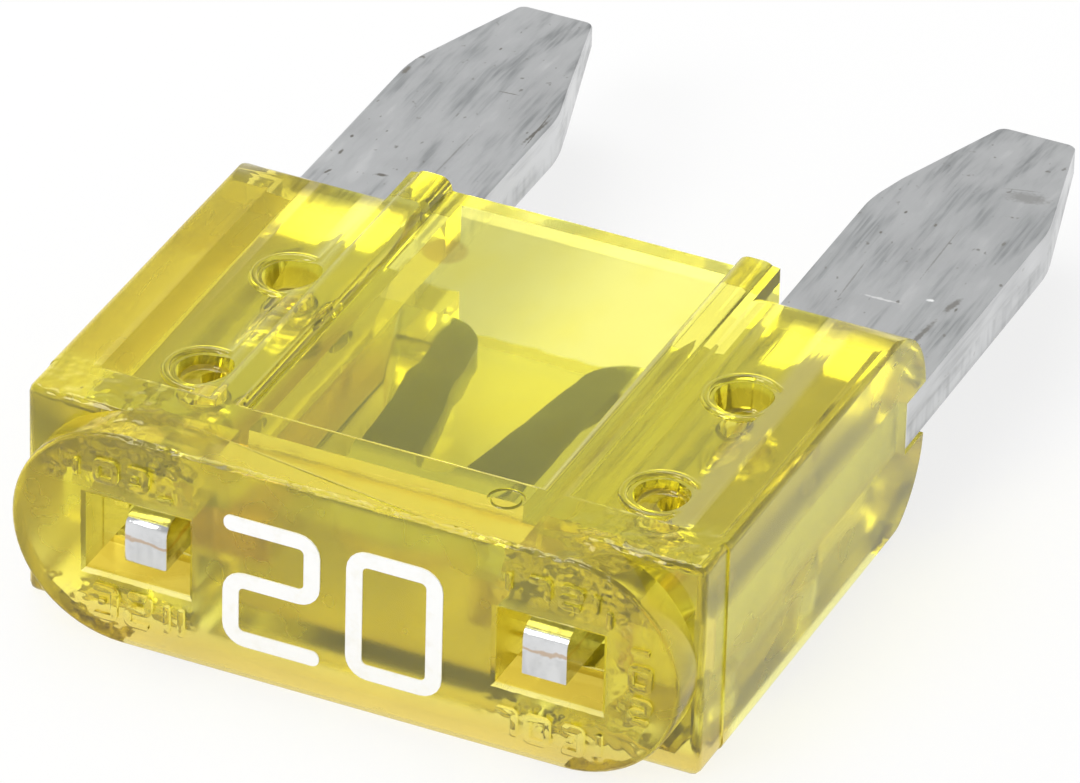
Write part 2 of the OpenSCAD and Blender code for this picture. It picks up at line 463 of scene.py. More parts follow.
class Nodes:
    """Builds a material's nodes with short calls."""

    def __init__(self, name: str) -> None:
        """Starts an empty material."""
        self.material = bpy.data.materials.new(name)
        self.material.use_nodes = True
        self.tree = self.material.node_tree
        self.tree.nodes.clear()
        self.place = self.add("ShaderNodeTexCoord").outputs["Object"]

    def add(self, kind: str, **values: object) -> bpy.types.Node:
        """Adds one node.

        Args:
            kind: The node's type.
            values: Settings of the node, or values of its input sockets with spaces written as _.

        Returns:
            The node.
        """
        node = self.tree.nodes.new(kind)
        for key, value in values.items():
            socket = node.inputs.get(key.replace("_", " "))
            if socket is None:
                setattr(node, key, value)
            elif isinstance(value, Socket):
                self.link(value, socket)
            else:
                socket.default_value = value
        return node

    def link(self, source: Socket, target: Socket) -> None:
        """Joins two sockets."""
        self.tree.links.new(source, target)

    def operate(self, kind: str, operation: str, values: Iterable[float | Triple | Socket]) -> bpy.types.Node:
        """Adds a sum's node.

        Args:
            kind: The node's type.
            operation: Name of the sum.
            values: Numbers or sockets that it takes.

        Returns:
            The node.
        """
        node = self.add(kind, operation=operation)
        for value, socket in zip(values, node.inputs):
            if isinstance(value, Socket):
                self.link(value, socket)
            else:
                socket.default_value = value
        return node

    def math(self, operation: str, *values: float | Socket) -> Socket:
        """Gives the result of a sum of numbers."""
        return self.operate("ShaderNodeMath", operation, values).outputs[0]

    def vector(self, operation: str, *values: Triple | Socket) -> Socket:
        """Gives the result of a sum of vectors, a number for a dot product or a distance."""
        node = self.operate("ShaderNodeVectorMath", operation, values)
        return node.outputs["Value" if operation in ("DOT_PRODUCT", "DISTANCE") else "Vector"]

    def measure(self, front_y: float) -> None:
        """Names the measures of a place, in millimetres from the label face.

        Args:
            front_y: Where the label face lies in the frame, in metres.
        """
        self.local = self.vector("MULTIPLY_ADD", self.place, (1.0 / MM,) * 3, (0.0, -front_y / MM, 0.0))
        x, y, z = self.add("ShaderNodeSeparateXYZ", Vector=self.local).outputs
        normal = self.add("ShaderNodeNewGeometry").outputs["Normal"]
        up = self.add("ShaderNodeSeparateXYZ", Vector=normal).outputs["Z"]
        self.measures = {
            Measure.X: x, Measure.Y: y, Measure.Z: z, Measure.UP: up,
            Measure.OUT: self.math("ABSOLUTE", x),
            Measure.OFF_MID: self.math("ABSOLUTE", self.math("SUBTRACT", z, MID_HEIGHT)),
            Measure.FLAT: self.math("ABSOLUTE", up),
        }

    def product(self, *shares: float | Socket) -> Socket:
        """Multiplies shares."""
        return reduce(lambda one, other: self.math("MULTIPLY", one, other), shares)

    def most(self, *shares: Socket) -> Socket:
        """Gives the largest of some shares."""
        return reduce(lambda one, other: self.math("MAXIMUM", one, other), shares)

    def span(self, value: Socket, ramp: Ramp) -> Socket:
        """Maps a range of values onto another, smoothly and clamped.

        Args:
            value: What is mapped.
            ramp: Two values, and what they become if that isn't 0 and 1.

        Returns:
            The mapped value.
        """
        node = self.add("ShaderNodeMapRange", interpolation_type="SMOOTHSTEP")
        for socket, number in zip(node.inputs[1:5], (*ramp, 0.0, 1.0) if len(ramp) == 2 else ramp):
            socket.default_value = number
        self.link(value, node.inputs[0])
        return node.outputs[0]

    def zone(self, zone: Zone) -> Socket:
        """Gives how far a place is inside a zone.

        Args:
            zone: The zone's smooth borders.

        Returns:
            The product of what the borders give.
        """
        return self.product(*(self.span(self.measures[measure], ramp) for measure, ramp in zone))

    def noise(self, grain: Grain) -> Socket:
        """Adds noise in the object's own space.

        Args:
            grain: Cells to the metre, how many finer layers there are, and the scale along each axis.

        Returns:
            A value about 0.5.
        """
        cells, detail, stretch = grain
        where = self.place if stretch == EVEN else self.vector("MULTIPLY", self.place, stretch)
        return self.add("ShaderNodeTexNoise", Vector=where, Scale=cells, Detail=detail).outputs["Fac"]

    def tint(self, share: Socket, low: Triple | Socket, high: Triple | Socket) -> Socket:
        """Mixes two colours.

        Args:
            share: How much of the second colour is taken.
            low: First colour.
            high: Second colour.

        Returns:
            The mixed colour.
        """
        node = self.add("ShaderNodeMix", data_type="RGBA")
        self.link(share, node.inputs[0])
        for colour, socket in ((low, node.inputs[6]), (high, node.inputs[7])):
            if isinstance(colour, Socket):
                self.link(colour, socket)
            else:
                socket.default_value = (*colour, 1.0)
        return node.outputs[2]

    def bump(self, height: Socket, strength: float | Socket, distance: float,
             under: Socket | None = None) -> Socket:
        """Adds a relief to the surface's normals.

        Args:
            height: The relief, from 0 to 1.
            strength: How strong it is.
            distance: Its height.
            under: Normals that it is laid over.

        Returns:
            The normals.
        """
        node = self.add("ShaderNodeBump", Strength=strength, Distance=distance * MM, Height=height)
        if under is not None:
            self.link(under, node.inputs["Normal"])
        return node.outputs[0]

    def finish(self, surface: Socket, volume: Socket | None = None) -> bpy.types.Material:
        """Ends the material.

        Args:
            surface: Shader of the surface.
            volume: Shader of the inside.

        Returns:
            The material.
        """
        out = self.add("ShaderNodeOutputMaterial", Surface=surface)
        if volume is not None:
            self.link(volume, out.inputs["Volume"])
        return self.material


@dataclass(frozen=True)
class ClearPlastic:
    """Clear yellow plastic, tinted through: glossy faces, a duller label face, faint mould ripples and
    painted shade that deepens the tint in some places.
    """

    tint: Triple = (0.99, 0.975, 0.34)
    tint_rich: Triple = (0.985, 0.945, 0.24)
    # painted shade: the deeper orange tint laid where the plastic should look shaded
    deep_shade_tint: Triple = (0.64, 0.49, 0.1)
    absorb: Triple = (0.972, 0.953, 0.6)
    density: float = 1200.0
    shadow: Triple = (0.965, 0.945, 0.68)
    index: float = 1.5
    clear_share: float = 0.94
    clear_roughness: float = 0.04
    label_roughness: float = 0.26
    mark_roughness: float = 0.15
    side_dullness: Zone = ((Measure.OUT, (5.2, 5.4, 0.0, 0.26)),)
    ripple: Grain = (1100.0, 2.0, (1.0, 0.5, 1.0))
    ripple_rich: Ramp = (0.45, 0.75)
    ripple_dull: Ramp = (0.5, 0.8, 0.0, 0.05)
    ripple_strength: float = 0.2
    ripple_height: float = 0.03
    crumple: Grain = (3600.0, 1.0, EVEN)
    crumple_height: float = 0.075
    label: Zone = ((Measure.Y, (0.9, 0.2)),)
    label_ends: Zone = ((Measure.OUT, (3.4, 5.0, 0.0, 0.5)),)
    beside_windows: Zone = ((Measure.OUT, (2.0, 2.8)), (Measure.OUT, (5.1, 4.6)))
    over_windows: Zone = ((Measure.OFF_MID, (0.75, 0.9)),)
    right_of_windows: Zone = ((Measure.X, (4.15, 4.4)),)
    face: Zone = ((Measure.Y, (0.14, 0.1)),)
    head_ends: Zone = (
        (Measure.Z, (3.4, 3.5)), (Measure.Y, (1.75, 1.65)), (Measure.OUT, (2.9, 3.5, 0.0, 0.6)),
    )
    low_front: Zone = ((Measure.Z, (1.0, 0.25)), (Measure.Y, (1.9, 1.6)))
    in_windows: Zone = (
        (Measure.Y, (0.1, 0.16)), (Measure.Y, (1.6, 1.5)), (Measure.OUT, (4.3, 4.2)),
        (Measure.Z, (2.6, 2.4, 0.0, 0.8)),
    )
    on_rails: Zone = (
        (Measure.OUT, (3.9, 4.5)), (Measure.UP, (0.3, 0.6)), (Measure.Y, (1.6, 2.0)),
        (Measure.X, (-1.0, 1.0, 0.55, 0.35)),
    )
    in_dimples: Zone = (
        (Measure.Z, (2.45, 2.55)), (Measure.Z, (3.37, 3.3, 0.0, 0.8)), (Measure.OUT, (2.35, 2.45)),
        (Measure.OUT, (4.9, 4.8)), (Measure.Y, (1.6, 1.75)), (Measure.Y, (6.3, 6.1)),
    )
    # one round spot of painted shade behind the left bar
    shade_spot: Triple = (-1.85, 7.4, 3.0)
    shade_spot_reach: Ramp = (0.42, 0.3)

    def depth(self, n: Nodes, label: Socket) -> Socket:
        """Gives where shade is painted into the plastic, as a deeper orange tint.

        Args:
            n: The material's nodes.
            label: Where the label face is.

        Returns:
            A value from 0 to 1.
        """
        label_ends = n.product(n.zone(self.label_ends), label)
        zones = [n.zone(zone) for zone in (self.low_front, self.in_windows, self.on_rails, self.in_dimples)]
        return n.most(label_ends, *zones, n.span(n.vector("DISTANCE", n.local, self.shade_spot), self.shade_spot_reach))

    def make(self, front_y: float) -> bpy.types.Material:
        """Builds the material.

        Args:
            front_y: Where the label face lies in the frame, in metres.

        Returns:
            The material.
        """
        n = Nodes("clear_yellow_plastic")
        n.measure(front_y)
        label = n.zone(self.label)
        marked = n.most(n.zone(self.over_windows), n.zone(self.right_of_windows))
        around = n.product(n.zone(self.beside_windows), marked)

        ripple = n.noise(self.ripple)
        colour = n.tint(n.span(ripple, self.ripple_rich), self.tint, self.tint_rich)
        # painted shade: the tint deepens in the zones that depth() gives
        colour = n.tint(self.depth(n, label), colour, self.deep_shade_tint)

        dull = n.math(
            "MULTIPLY_ADD", around, self.mark_roughness - self.label_roughness,
            self.label_roughness - self.clear_roughness,
        )
        dull = n.math("MULTIPLY_ADD", label, dull, self.clear_roughness)
        dull = n.most(dull, n.zone(self.side_dullness))
        rough = n.math("ADD", n.span(ripple, self.ripple_dull), dull)

        uneven = n.most(n.product(n.zone(self.face), around), n.zone(self.head_ends))
        normal = n.bump(ripple, self.ripple_strength, self.ripple_height)
        normal = n.bump(n.noise(self.crumple), uneven, self.crumple_height, normal)
        shell = n.add(
            "ShaderNodeBsdfPrincipled", Base_Color=colour, Roughness=rough, IOR=self.index,
            Transmission_Weight=self.clear_share, Normal=normal,
        )
        lamp = n.add("ShaderNodeBsdfTransparent", Color=(*self.shadow, 1.0))
        mix = n.add("ShaderNodeMixShader", Fac=n.add("ShaderNodeLightPath").outputs["Is Shadow Ray"])
        n.link(shell.outputs[0], mix.inputs[1])
        n.link(lamp.outputs[0], mix.inputs[2])
        inside = n.add("ShaderNodeVolumeAbsorption", Color=(*self.absorb, 1.0), Density=self.density)
        return n.finish(mix.outputs[0], inside.outputs[0])


@dataclass(frozen=True)
class Mark:
    """One pit or scratch on a broad face of the strip."""

    x: float
    y: float
    length: float
    width: float
    angle: float = 90.0
    strength: float = 1.0
    bright: bool = False

    def share(self, n: Nodes, flat: Socket, fray: Socket) -> Socket:
        """Gives where the mark shows.

        Args:
            n: The material's nodes.
            flat: The place's x and y, in millimetres from the label face, and 1.
            fray: How much nearer the mark's edge is drawn, from noise.

        Returns:
            A value from 0 to 1.
        """
        turn = math.radians(self.angle)
        cos, sin = math.cos(turn), math.sin(turn)
        axes = (Vector((cos, sin)) * 2 / self.length, Vector((-sin, cos)) * 2 / self.width)
        centre = Vector((self.x, self.y))
        u, v = (n.vector("DOT_PRODUCT", flat, (*axis, -axis.dot(centre))) for axis in axes)
        far = n.math("SQRT", n.math("MULTIPLY_ADD", u, u, n.math("MULTIPLY", v, v)))
        return n.span(n.math("ADD", fray, far), (1.8, 1.0, 0.0, self.strength))


@dataclass(frozen=True)
class Zinc:
    """Stamped zinc strip: grey, streaked lengthwise, pitted, with torn stamping edges. Inside the housing it
    is painted brighter as painted light; the link carries painted shade, darkest at its front, and the left
    shoulder a brown painted shade.
    """

    light: Triple = (0.62, 0.63, 0.635)
    dark: Triple = (0.3, 0.31, 0.315)
    pit: Triple = (0.24, 0.23, 0.21)
    edge: Triple = (0.72, 0.725, 0.73)
    bright: Triple = (0.95, 0.95, 0.95)
    brown: Triple = (0.5, 0.3, 0.12)
    # painted shade: the link is painted dark, darkest towards its front, where it lies in shade inside the
    # housing
    link: Triple = (0.17, 0.185, 0.16)
    link_shade: Triple = (0.045, 0.055, 0.04)
    fine: Grain = (14000.0, 2.0, (1.0, 0.05, 1.0))
    coarse: Grain = (3000.0, 3.0, (1.0, 0.2, 1.0))
    cloud: Grain = (700.0, 2.0, EVEN)
    specks: Grain = (9000.0, 1.0, (1.0, 0.6, 1.0))
    tear: Grain = (5000.0, 1.0, (1.0, 1.0, 0.25))
    rag: Grain = (14000.0, 1.0, EVEN)
    coarse_dark: Ramp = (0.42, 0.68)
    fine_dark: Ramp = (0.3, 0.7, 0.35, 1.0)
    coarse_bright: Ramp = (0.4, 0.25, 0.0, 0.3)
    cloud_dark: Ramp = (0.4, 0.7, 0.0, 0.35)
    speck_pits: Ramp = (0.7, 0.8, 0.0, 0.8)
    edge_share: float = 0.6
    fray: float = 1.1
    broad: Zone = ((Measure.FLAT, (0.3, 0.7)),)
    tab: Zone = ((Measure.Y, (1.5, 1.3, 0.0, 0.2)),)
    # painted light: the zinc inside the housing is painted brighter, standing in for light through the
    # plastic
    inside_painted_light: Zone = ((Measure.Y, (8.2, 7.9, 0.0, 0.75)), (Measure.Y, (1.4, 1.6)))
    # painted shade: brown laid on the left shoulder, where it is seen through thick plastic beside the bar
    left_shoulder_shade: Zone = (
        (Measure.X, (-1.55, -1.65)), (Measure.X, (-2.9, -2.5)), (Measure.Y, (6.3, 4.6, 0.0, 0.7)),
    )
    on_link: Zone = ((Measure.OUT, (1.6, 1.5)), (Measure.Y, (2.9, 3.5)))
    link_shade_drift: float = 2.2
    link_shade_fade: Ramp = (4.6, 7.4)
    tear_drift: float = 0.3
    tear_below: Ramp = (2.02, 1.96)
    tear_dark: Ramp = (0.4, 0.8, 0.0, 0.35)
    fold_z: float = 2.02
    fold_drift: float = 0.35
    fold_width: Ramp = (0.05, 0.015, 0.0, 0.6)
    fold_front: Zone = ((Measure.Y, (1.3, 1.1)),)
    grain_strength: float = 0.55
    grain_height: float = 0.006
    cloud_dull: Ramp = (0.3, 0.7, 0.3, 0.42)
    streak_dull: float = 0.18
    bare_dull: Zone = ((Measure.Y, (7.9, 8.2, 0.42, 1.0)),)

    def make(self, front_y: float, marks: Sequence[Mark]) -> bpy.types.Material:
        """Builds the material.

        Args:
            front_y: Where the label face lies in the frame, in metres.
            marks: Single pits and scratches on the broad faces.

        Returns:
            The material.
        """
        n = Nodes("zinc")
        n.measure(front_y)
        across, along, height = (n.measures[measure] for measure in (Measure.X, Measure.Y, Measure.Z))
        fine, coarse = n.noise(self.fine), n.noise(self.coarse)
        cloud, tear = n.noise(self.cloud), n.noise(self.tear)
        broad = n.zone(self.broad)
        narrow = n.math("SUBTRACT", 1.0, broad)
        streak = n.product(n.span(coarse, self.coarse_dark), n.span(fine, self.fine_dark))
        # how far the link's painted shade has faded, from front to back
        far = n.span(n.math("MULTIPLY_ADD", cloud, self.link_shade_drift, along), self.link_shade_fade)
        torn = n.span(n.math("MULTIPLY_ADD", tear, self.tear_drift, height), self.tear_below)
        off_fold = n.math("MULTIPLY_ADD", coarse, self.fold_drift, n.math("SUBTRACT", height, self.fold_z))
        fold = n.span(n.math("ABSOLUTE", off_fold), self.fold_width)

        layers = [
            (streak, self.dark),
            (n.span(coarse, self.coarse_bright), self.bright),
            (n.span(cloud, self.cloud_dark), self.dark),
            (n.span(n.noise(self.specks), self.speck_pits), self.pit),
            (n.product(narrow, self.edge_share), self.edge),
            (n.zone(self.tab), self.bright),
            # painted light on the zinc inside the housing
            (n.zone(self.inside_painted_light), self.bright),
            # brown painted shade on the left shoulder
            (n.zone(self.left_shoulder_shade), self.brown),
            # painted shade on the link, lighter towards the back
            (n.zone(self.on_link), n.tint(far, self.link_shade, self.link)),
            (n.product(torn, narrow, n.span(tear, self.tear_dark)), self.dark),
            (n.product(fold, n.zone(self.fold_front), narrow), self.brown),
        ]
        flat = n.add("ShaderNodeCombineXYZ", X=across, Y=along, Z=1.0).outputs[0]
        fray = n.product(n.noise(self.rag), self.fray)
        for bright, paint in ((False, self.pit), (True, self.bright)):
            shares = [mark.share(n, flat, fray) for mark in marks if mark.bright is bright]
            layers.append((n.product(n.most(*shares), broad), paint))
        colour = self.light
        for share, paint in layers:
            colour = n.tint(share, colour, paint)

        rough = n.math("MULTIPLY_ADD", streak, self.streak_dull, n.span(cloud, self.cloud_dull))
        metal = n.add(
            "ShaderNodeBsdfPrincipled", Base_Color=colour, Roughness=n.product(rough, n.zone(self.bare_dull)),
            Metallic=1.0, Normal=n.bump(fine, self.grain_strength, self.grain_height),
        )
        return n.finish(metal.outputs[0])


@dataclass(frozen=True)
class Ink:
    """White printing ink: matt, slightly uneven, with a faint grain."""

    colour: Triple = (0.97, 0.97, 0.965)
    thin: Triple = (0.93, 0.92, 0.88)
    patches: Grain = (5000.0, 3.0, EVEN)
    patch_thin: Ramp = (0.45, 0.75)
    grain: Grain = (16000.0, 2.0, EVEN)
    grain_strength: float = 0.2
    grain_height: float = 0.01
    roughness: float = 0.55

    def make(self) -> bpy.types.Material:
        """Builds the material."""
        n = Nodes("white_ink")
        paint = n.add(
            "ShaderNodeBsdfPrincipled", Roughness=self.roughness,
            Base_Color=n.tint(n.span(n.noise(self.patches), self.patch_thin), self.colour, self.thin),
            Normal=n.bump(n.noise(self.grain), self.grain_strength, self.grain_height),
        )
        return n.finish(paint.outputs[0])


# ---- Housing ----


@dataclass
class Housing:
    """Clear moulded housing, as the CAD node has it, with the moulding's rounded edges and marks."""

    length: float
    width: float
    thick: float
    face_y: float = 0.06
    pad_depth: float = 0.7
    pad_inset: float = 0.1
    head_depth: float = 1.0
    head_inset: float = 0.03
    head_edge_r: float = 0.14
    nose_r: float = 1.45
    bar_in_x: float = 2.35
    bar_w: float = 0.69
    bar_slope: float = 0.34
    bar_step: Point = (0.16, 0.05)
    bar_in_r: float = 0.2
    bar_out_r: float = 0.12
    step_run: float = 0.03
    step_fall: float = 0.01
    step_r: Point = (0.03, 0.08)
    foot_r: float = 0.1
    panel_r: float = 0.05
    panel_recess: float = 0.22
    side_recess: float = 0.17
    rail_w: float = 0.7
    rail_slope: float = 0.5
    rail_in_r: float = 0.06
    rail_out_r: float = 0.16
    panel_t: float = 0.48
    hollow_w: float = 4.4
    front_wall: float = 1.5
    side_wall: float = 0.55
    notch_l: float = 0.7
    slot_h: float = 0.9
    window_x: float = 3.3
    window_w: float = 1.7
    window_h: float = 1.3
    window_flare: float = 0.055
    stake_d: float = 0.7
    stake_sink: float = 0.05
    dimple_d: float = 1.0
    dimple_depth: float = 0.45
    near_dimple_depth: float = 0.2
    dimple_taper: float = 0.24
    dimple_r: float = 0.07
    lip_d: float = 1.14
    lip_t: float = 0.16
    lip_sink: float = 0.02
    pin_mark_d: float = 0.44
    pin_mark_depth: float = 0.35
    pin_mark_over: float = 0.1
    pin_mark_taper: float = 0.16
    pin_mark_shift: Point = (0.1, 0.12)
    rim_r: float = 0.09
    rim_cuts: int = 110
    rim_band: Point = (0.004, 0.08)
    rim_wear: Point = (0.02, 0.03)
    rim_seed: int = 5
    flare_cuts: int = 14
    flare_wear: Point = (-0.5, 0.9)
    flare_seed: int = 17
    gate_place: Point = (2.1, 1.12)
    gate_d: float = 0.5
    gate_t: float = 0.07
    relief_r: float = 0.03
    relief_marks: tuple[tuple[str, Point, Point], ...] = (
        ("1", (-4.42, 2.76), (0.3, 0.3)), ("0", (-3.94, 2.8), (0.3, 0.3)), ("3", (-3.44, 2.8), (0.3, 0.3)),
        ("", (-2.96, 2.72), (-2.7, 2.72)), ("3", (-3.98, 0.44), (0.34, 0.48)),
        ("2", (-3.42, 0.44), (0.34, 0.48)), ("1", (-2.94, 0.44), (0.3, 0.48)),
        ("", (-2.56, 0.44), (-2.56, 0.92)), ("7", (2.98, 2.84), (0.3, 0.3)), ("2", (3.5, 2.84), (0.3, 0.3)),
        ("", (2.66, 2.84), (2.66, 3.14)), ("", (4.04, 2.84), (4.04, 3.14)), ("1", (4.1, 2.64), (0.3, 0.3)),
        ("7", (2.5, 0.36), (0.3, 0.4)), ("0", (3.0, 0.36), (0.32, 0.4)), ("3", (3.56, 0.36), (0.3, 0.4)),
        ("", (4.14, 0.4), (4.14, 0.8)), ("2", (4.62, 1.2), (0.28, 0.34)), ("0", (4.62, 1.78), (0.28, 0.34)),
        ("", (4.6, 2.4), (4.9, 2.4)),
    )
    two: tuple[Point, ...] = (
        (-1.88, 2.67), (-0.46, 2.67), (-0.46, 1.72), (-1.76, 1.72), (-1.76, 0.71), (-0.33, 0.71),
    )
    nought: tuple[Point, Point] = ((0.22, 0.73), (1.5, 2.67))
    print_gap: float = 0.004
    over: float = 0.2
    crisp: float = 60.0
    flat: float = 0.3

    @property
    def mid(self) -> float:
        """Height of the middle plane."""
        return self.thick / 2

    @property
    def head_back(self) -> float:
        """Where the head block ends."""
        return self.pad_depth + self.head_depth

    @property
    def bar_out_x(self) -> float:
        """Outer edge of a bar's top."""
        return self.bar_in_x + self.bar_w

    @property
    def floor(self) -> float:
        """Height of the upper staking areas."""
        return self.thick - self.side_recess

    def section(self) -> list[Corner]:
        """Gives the body's cross-section in x and z, with a radius at each corner."""
        half, top = self.width / 2, self.thick
        panel = top - self.panel_recess
        quarter = [
            Corner(self.bar_in_x, panel, self.panel_r),
            Corner(self.bar_in_x, top, self.bar_in_r),
            Corner(self.bar_out_x - self.bar_step[0], top, self.bar_out_r),
            Corner(self.bar_out_x - self.bar_step[0] + self.step_run, top - self.bar_step[1], self.step_r[0]),
            Corner(self.bar_out_x, top - self.bar_step[1] - self.step_fall, self.step_r[1]),
            Corner(self.bar_out_x + self.bar_slope, self.floor, self.foot_r),
            Corner(half - self.rail_w - self.rail_slope, self.floor, self.foot_r),
            Corner(half - self.rail_w, top, self.rail_in_r),
            Corner(half, top, self.rail_out_r),
        ]
        upper = quarter + [Corner(c.u, self.thick - c.v, c.radius) for c in reversed(quarter)]
        return Corner.mirrored(upper)

    def body(self) -> Solid:
        """Makes the body behind the head, with its rounded blade end beside the bars."""
        shop = Workshop
        made = shop.prism(self.section(), Axis.Y, self.head_back - self.over, self.length)
        nose = shop.prism(
            [
                Corner(0.0, 0.0), Corner(self.length, 0.0, self.nose_r),
                Corner(self.length, self.thick, self.nose_r), Corner(0.0, self.thick),
            ],
            Axis.X, -self.width, self.width,
        )
        middle = shop.block(
            (-self.bar_out_x, 0.0, -self.over), (self.bar_out_x, self.length, self.thick + self.over)
        )
        shop.combine(nose, Join.ADD, middle)
        return shop.combine(made, Join.KEEP, nose)

    def head(self) -> Solid:
        """Makes the head block."""
        half = self.width / 2 - self.head_inset
        return Workshop.block(
            (-half, self.pad_depth, 0.0), (half, self.head_back, self.thick), rounding=self.head_edge_r
        )

    def pad(self) -> Solid:
        """Makes the round-ended label pad, with the uneven edge along its top."""
        half = self.width / 2 - self.pad_inset
        outline = Corner.box((-half, 0.0), (half, self.thick), self.mid * ALMOST)
        made = Workshop.prism(outline, Axis.Y, self.face_y, self.pad_depth + self.over)

        def change(bm: Mesh) -> None:
            front = [e for e in bm.edges if all(abs(v.co.y - self.face_y) < TINY for v in e.verts)]
            Workshop.bevel(bm, front, self.rim_r, 3)
            long_edges = [
                e for e in bm.edges
                if e.calc_length() > self.width / 2 and e.verts[0].co.z > self.mid
                and self.face_y - 0.01 < e.verts[0].co.y < self.face_y + 0.1
            ]
            made = bmesh.ops.subdivide_edges(bm, edges=long_edges, cuts=self.rim_cuts, use_grid_fill=True)
            draw = random.Random(self.rim_seed)
            near, far = self.rim_band
            for piece in made["geom_inner"]:
                if isinstance(piece, bmesh.types.BMVert) and near < piece.co.y - self.face_y < far:
                    piece.co.z -= draw.uniform(0.0, self.rim_wear[1])
                    piece.co.y += draw.uniform(0.0, self.rim_wear[0])

        return Workshop.reshape(made, change)

    def window(self, side: int) -> Solid:
        """Makes the tool that cuts one test window, flared unevenly at its mouth.

        Args:
            side: -1 for the left window, 1 for the right one.

        Returns:
            The tool.
        """
        x, over = side * self.window_x, self.over
        low = (x - self.window_w / 2, -over, self.mid - self.window_h / 2)
        high = (x + self.window_w / 2, self.front_wall + over, self.mid + self.window_h / 2)
        made = Workshop.block(low, high)

        def change(bm: Mesh) -> None:
            Workshop.cut_across(bm, self.face_y + self.window_flare)
            across = [
                e for e in bm.edges
                if abs(e.verts[0].co.y - e.verts[1].co.y) < 1e-6 and e.verts[0].co.y < self.front_wall
            ]
            bmesh.ops.subdivide_edges(bm, edges=across, cuts=self.flare_cuts, use_grid_fill=True)
            draw = random.Random(self.flare_seed + side)
            for vert in bm.verts:
                if vert.co.y > self.face_y + self.window_flare - 0.01:
                    continue
                reach = 1.0 + (self.over + self.face_y) / self.window_flare
                for axis, centre, half in ((0, x, self.window_w / 2), (2, self.mid, self.window_h / 2)):
                    out = (vert.co[axis] - centre) / half
                    if abs(out) > 0.98:
                        grow = self.window_flare * (reach + draw.uniform(*self.flare_wear))
                        vert.co[axis] += math.copysign(grow, out)

        return Workshop.reshape(made, change)

    def cavities(self) -> list[Solid]:
        """Makes the tools that cut the element's slot, the hollow, the notches and the test windows."""
        shop, mid = Workshop, self.mid
        slot_x = self.width / 2 - self.side_wall
        far = self.length + self.over
        hollow_h = self.thick - 2 * (self.panel_recess + self.panel_t)
        spaces = (
            (slot_x, self.front_wall, self.slot_h), (self.width, self.length - self.notch_l, self.slot_h),
            (self.hollow_w / 2, self.front_wall, hollow_h),
        )
        blocks = [shop.block((-x, y, mid - h / 2), (x, far, mid + h / 2)) for x, y, h in spaces]
        return [*blocks, self.window(-1), self.window(1)]

    def lips(self) -> list[Solid]:
        """Makes the raised lips that the staking tool leaves around the upper dimples."""
        return [
            Workshop.ring((x, y, self.floor - self.lip_sink), self.lip_d, self.lip_t)
            for x, y in STAKES if y > self.head_back + self.lip_d / 2 + self.lip_t
        ]

    def dimples(self) -> list[Solid]:
        """Makes the tools that cut the dimples and the pin marks over the stakes, on both faces."""
        tools = []
        tall = self.thick + self.over
        for x, y in STAKES:
            low = self.floor - (self.near_dimple_depth if y < STAKE_YS[1] else self.dimple_depth)
            deep = low - self.pin_mark_depth
            mark_x, mark_y = x + self.pin_mark_shift[0], y + self.pin_mark_shift[1]
            upper = [
                Workshop.rod((x, y, low), self.dimple_d, tall - low, self.dimple_taper),
                Workshop.rod(
                    (mark_x, mark_y, deep), self.pin_mark_d, self.pin_mark_depth + self.pin_mark_over,
                    self.pin_mark_taper,
                ),
            ]
            for tool in upper:
                Workshop.soften(tool, self.dimple_r, self.crisp, 3)
            tools += upper
            tools += [
                Workshop.rod((x, y, -self.over), self.dimple_d, self.thick - low + self.over),
                Workshop.rod((mark_x, mark_y, -self.over), self.pin_mark_d, self.thick - deep + self.over),
            ]
        return tools

    def stakes(self) -> list[Solid]:
        """Makes the stakes that cross the slot."""
        reach = self.slot_h / 2 + self.stake_sink
        return [Workshop.rod((x, y, self.mid - reach), self.stake_d, 2 * reach) for x, y in STAKES]

    def relief(self) -> list[Solid]:
        """Makes the small raised marks around the test windows: plain digits, bars and frames."""
        pen = Pen(width=0.11, turn=0.06, cap=0.045, start_y=0.0, end_y=self.face_y + 0.06)
        marks = []
        for kind, place, size in self.relief_marks:
            marks += pen.digit(kind, place, size) if kind else [pen.stroke([place, size])]
        for mark in marks:
            Workshop.soften(mark, self.relief_r, self.crisp, where=lambda middle: middle.y < self.relief_r)
        return marks

    def build(self, front_y: float) -> Solid:
        """Builds the whole housing.

        Args:
            front_y: Where the label face lies in the frame, in metres.

        Returns:
            The housing.
        """
        shop = Workshop
        made = self.body()
        shop.combine(made, Join.ADD, self.head(), self.pad(), *self.lips(), *self.relief())
        shop.combine(made, Join.CUT, *self.cavities())
        shop.combine(made, Join.CUT, shop.ring((*self.gate_place, self.thick), self.gate_d, self.gate_t))
        shop.combine(made, Join.CUT, *self.dimples())
        shop.combine(made, Join.ADD, *self.stakes())

        def clean(bm: Mesh) -> None:
            bmesh.ops.remove_doubles(bm, verts=bm.verts, dist=TINY)
            bmesh.ops.dissolve_limit(bm, angle_limit=math.radians(self.flat), verts=bm.verts, edges=bm.edges)

        shop.reshape(made, clean)
        return shop.place(made, "clear_housing", front_y)

    def label(self, front_y: float) -> Solid:
        """Prints the white rating number on the label face.

        Args:
            front_y: Where the label face lies in the frame, in metres.

        Returns:
            The print, as one thin piece.
        """
        pen = Pen(width=0.26, turn=0.22, cap=0.115, start_y=0.035, end_y=self.face_y - self.print_gap)
        made = Workshop.combine(pen.stroke(self.two), Join.ADD, pen.loop(*self.nought))
        return Workshop.place(made, "rating_number", front_y)


# ---- Fuse element ----


